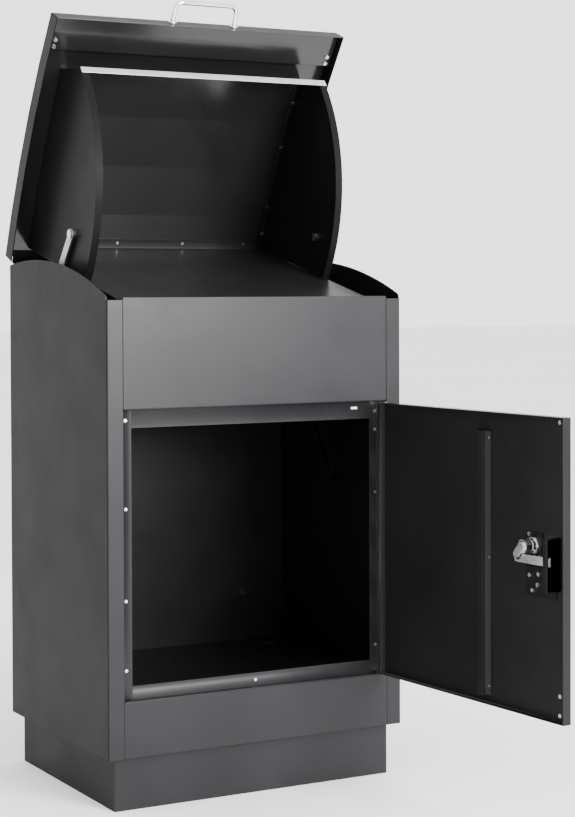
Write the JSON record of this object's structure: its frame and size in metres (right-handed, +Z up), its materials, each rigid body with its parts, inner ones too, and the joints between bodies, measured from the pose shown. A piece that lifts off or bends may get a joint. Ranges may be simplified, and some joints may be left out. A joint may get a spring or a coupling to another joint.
{
  "type": "parcel drop box",
  "caption": "Free-standing sheet-steel parcel drop box on a plinth, with an arched hinged lid that carries a hopper, and a locking front door.",
  "frame": {"origin": "on the ground, at the middle of the four floor anchors and of the body", "axes": "+Z up, the front with the door faces -Y, +X towards the door's hinge"},
  "size_m": [0.505, 0.8479, 1.2164],
  "materials": {
    "powder_coat": "fine-textured dark grey powder coat, low gloss",
    "bright_steel": "bright zinc",
    "galvanised_steel": "zinc-plated sheet",
    "chrome": "polished chrome",
    "black_plastic": "matt black plastic",
    "white_plastic": "white plastic"
  },
  "bodies": {
    "cabinet": {"side_panel_left": "powder_coat", "side_panel_right": "powder_coat", "front_panel_upper": "powder_coat", "front_panel_lower": "powder_coat", "frame_jamb_left": "powder_coat", "frame_jamb_right": "powder_coat", "frame_rail_top": "powder_coat", "frame_rail_bottom": "powder_coat", "rear_panel": "powder_coat", "parcel_floor": "powder_coat", "base_plate": "powder_coat", "floor_plugs": "black_plastic", "plinth_front": "powder_coat", "plinth_rear": "powder_coat", "plinth_left": "powder_coat", "plinth_right": "powder_coat", "anchor_tabs": "powder_coat", "frame_rivets": "bright_steel", "door_buffer": "white_plastic", "door_leaf_fixed": "bright_steel", "door_hinge_pin": "bright_steel", "lid_leaf_fixed": "powder_coat", "lid_hinge_pin": "bright_steel", "stay_guide_left": "galvanised_steel", "stay_guide_right": "galvanised_steel"},
    "lid": {"lid_skin": "powder_coat", "lid_end_left": "powder_coat", "lid_end_right": "powder_coat", "lid_front_rail": "powder_coat", "rail_screws": "bright_steel", "lid_leaf_moving": "powder_coat", "hopper_cheek_left": "powder_coat", "hopper_cheek_right": "powder_coat", "hopper_tray": "powder_coat", "hopper_baffle": "powder_coat", "hopper_edge_bar": "bright_steel", "lid_rivets": "bright_steel", "handle_bow": "chrome", "handle_screws": "bright_steel", "stay_bolt_left": "bright_steel", "stay_bolt_right": "bright_steel"},
    "stay_left": {"stay_arm_left": "galvanised_steel", "stay_pin_left": "bright_steel"},
    "stay_right": {"stay_arm_right": "galvanised_steel", "stay_pin_right": "bright_steel"},
    "door": {"door_panel": "powder_coat", "door_stiffener": "powder_coat", "door_leaf_moving": "bright_steel", "door_rivets": "bright_steel", "lock_barrel": "chrome", "lock_nut": "bright_steel", "lock_plate": "galvanised_steel", "lock_screws": "bright_steel", "latch_case": "galvanised_steel"},
    "lock_cylinder": {"lock_plug": "chrome", "lock_crank": "bright_steel"},
    "latch": {"latch_bolt": "bright_steel"}
  },
  "joints": [
    {"name": "lid_hinge", "type": "hinge", "parent": "cabinet", "child": "lid", "pos_m": [0, 0.198, 0.801], "axis": [1, 0, 0], "range_deg": [0, 68]},
    {"name": "stay_left_pivot", "type": "hinge", "parent": "lid", "child": "stay_left", "pos_m": [-0.2205, 0.00694, 0.84899], "axis": [1, 0, 0], "range_deg": [-136, 0]},
    {"name": "stay_right_pivot", "type": "hinge", "parent": "lid", "child": "stay_right", "pos_m": [0.2205, 0.00694, 0.84899], "axis": [1, 0, 0], "range_deg": [-136, 0]},
    {"name": "door_hinge", "type": "hinge", "parent": "cabinet", "child": "door", "pos_m": [0.221, -0.196, 0.375], "axis": [0, 0, -1], "range_deg": [-60, 93.4]},
    {"name": "lock_turn", "type": "hinge", "parent": "door", "child": "lock_cylinder", "pos_m": [0.22697, -0.5663, 0.404], "axis": [-0.9982, -0.0593, 0], "range_deg": [0, 90]},
    {"name": "latch_slide", "type": "slide", "parent": "door", "child": "latch", "axis": [0.0593, -0.9982, 0], "range_m": [0, 0.02404]}
  ],
  "couplings": [
    {"joint": "stay_left_pivot", "follows": "lid_hinge", "ratio": -2},
    {"joint": "stay_right_pivot", "follows": "lid_hinge", "ratio": -2},
    {"joint": "lock_turn", "follows": "latch_slide", "rad_per_m": 65.336}
  ]
}
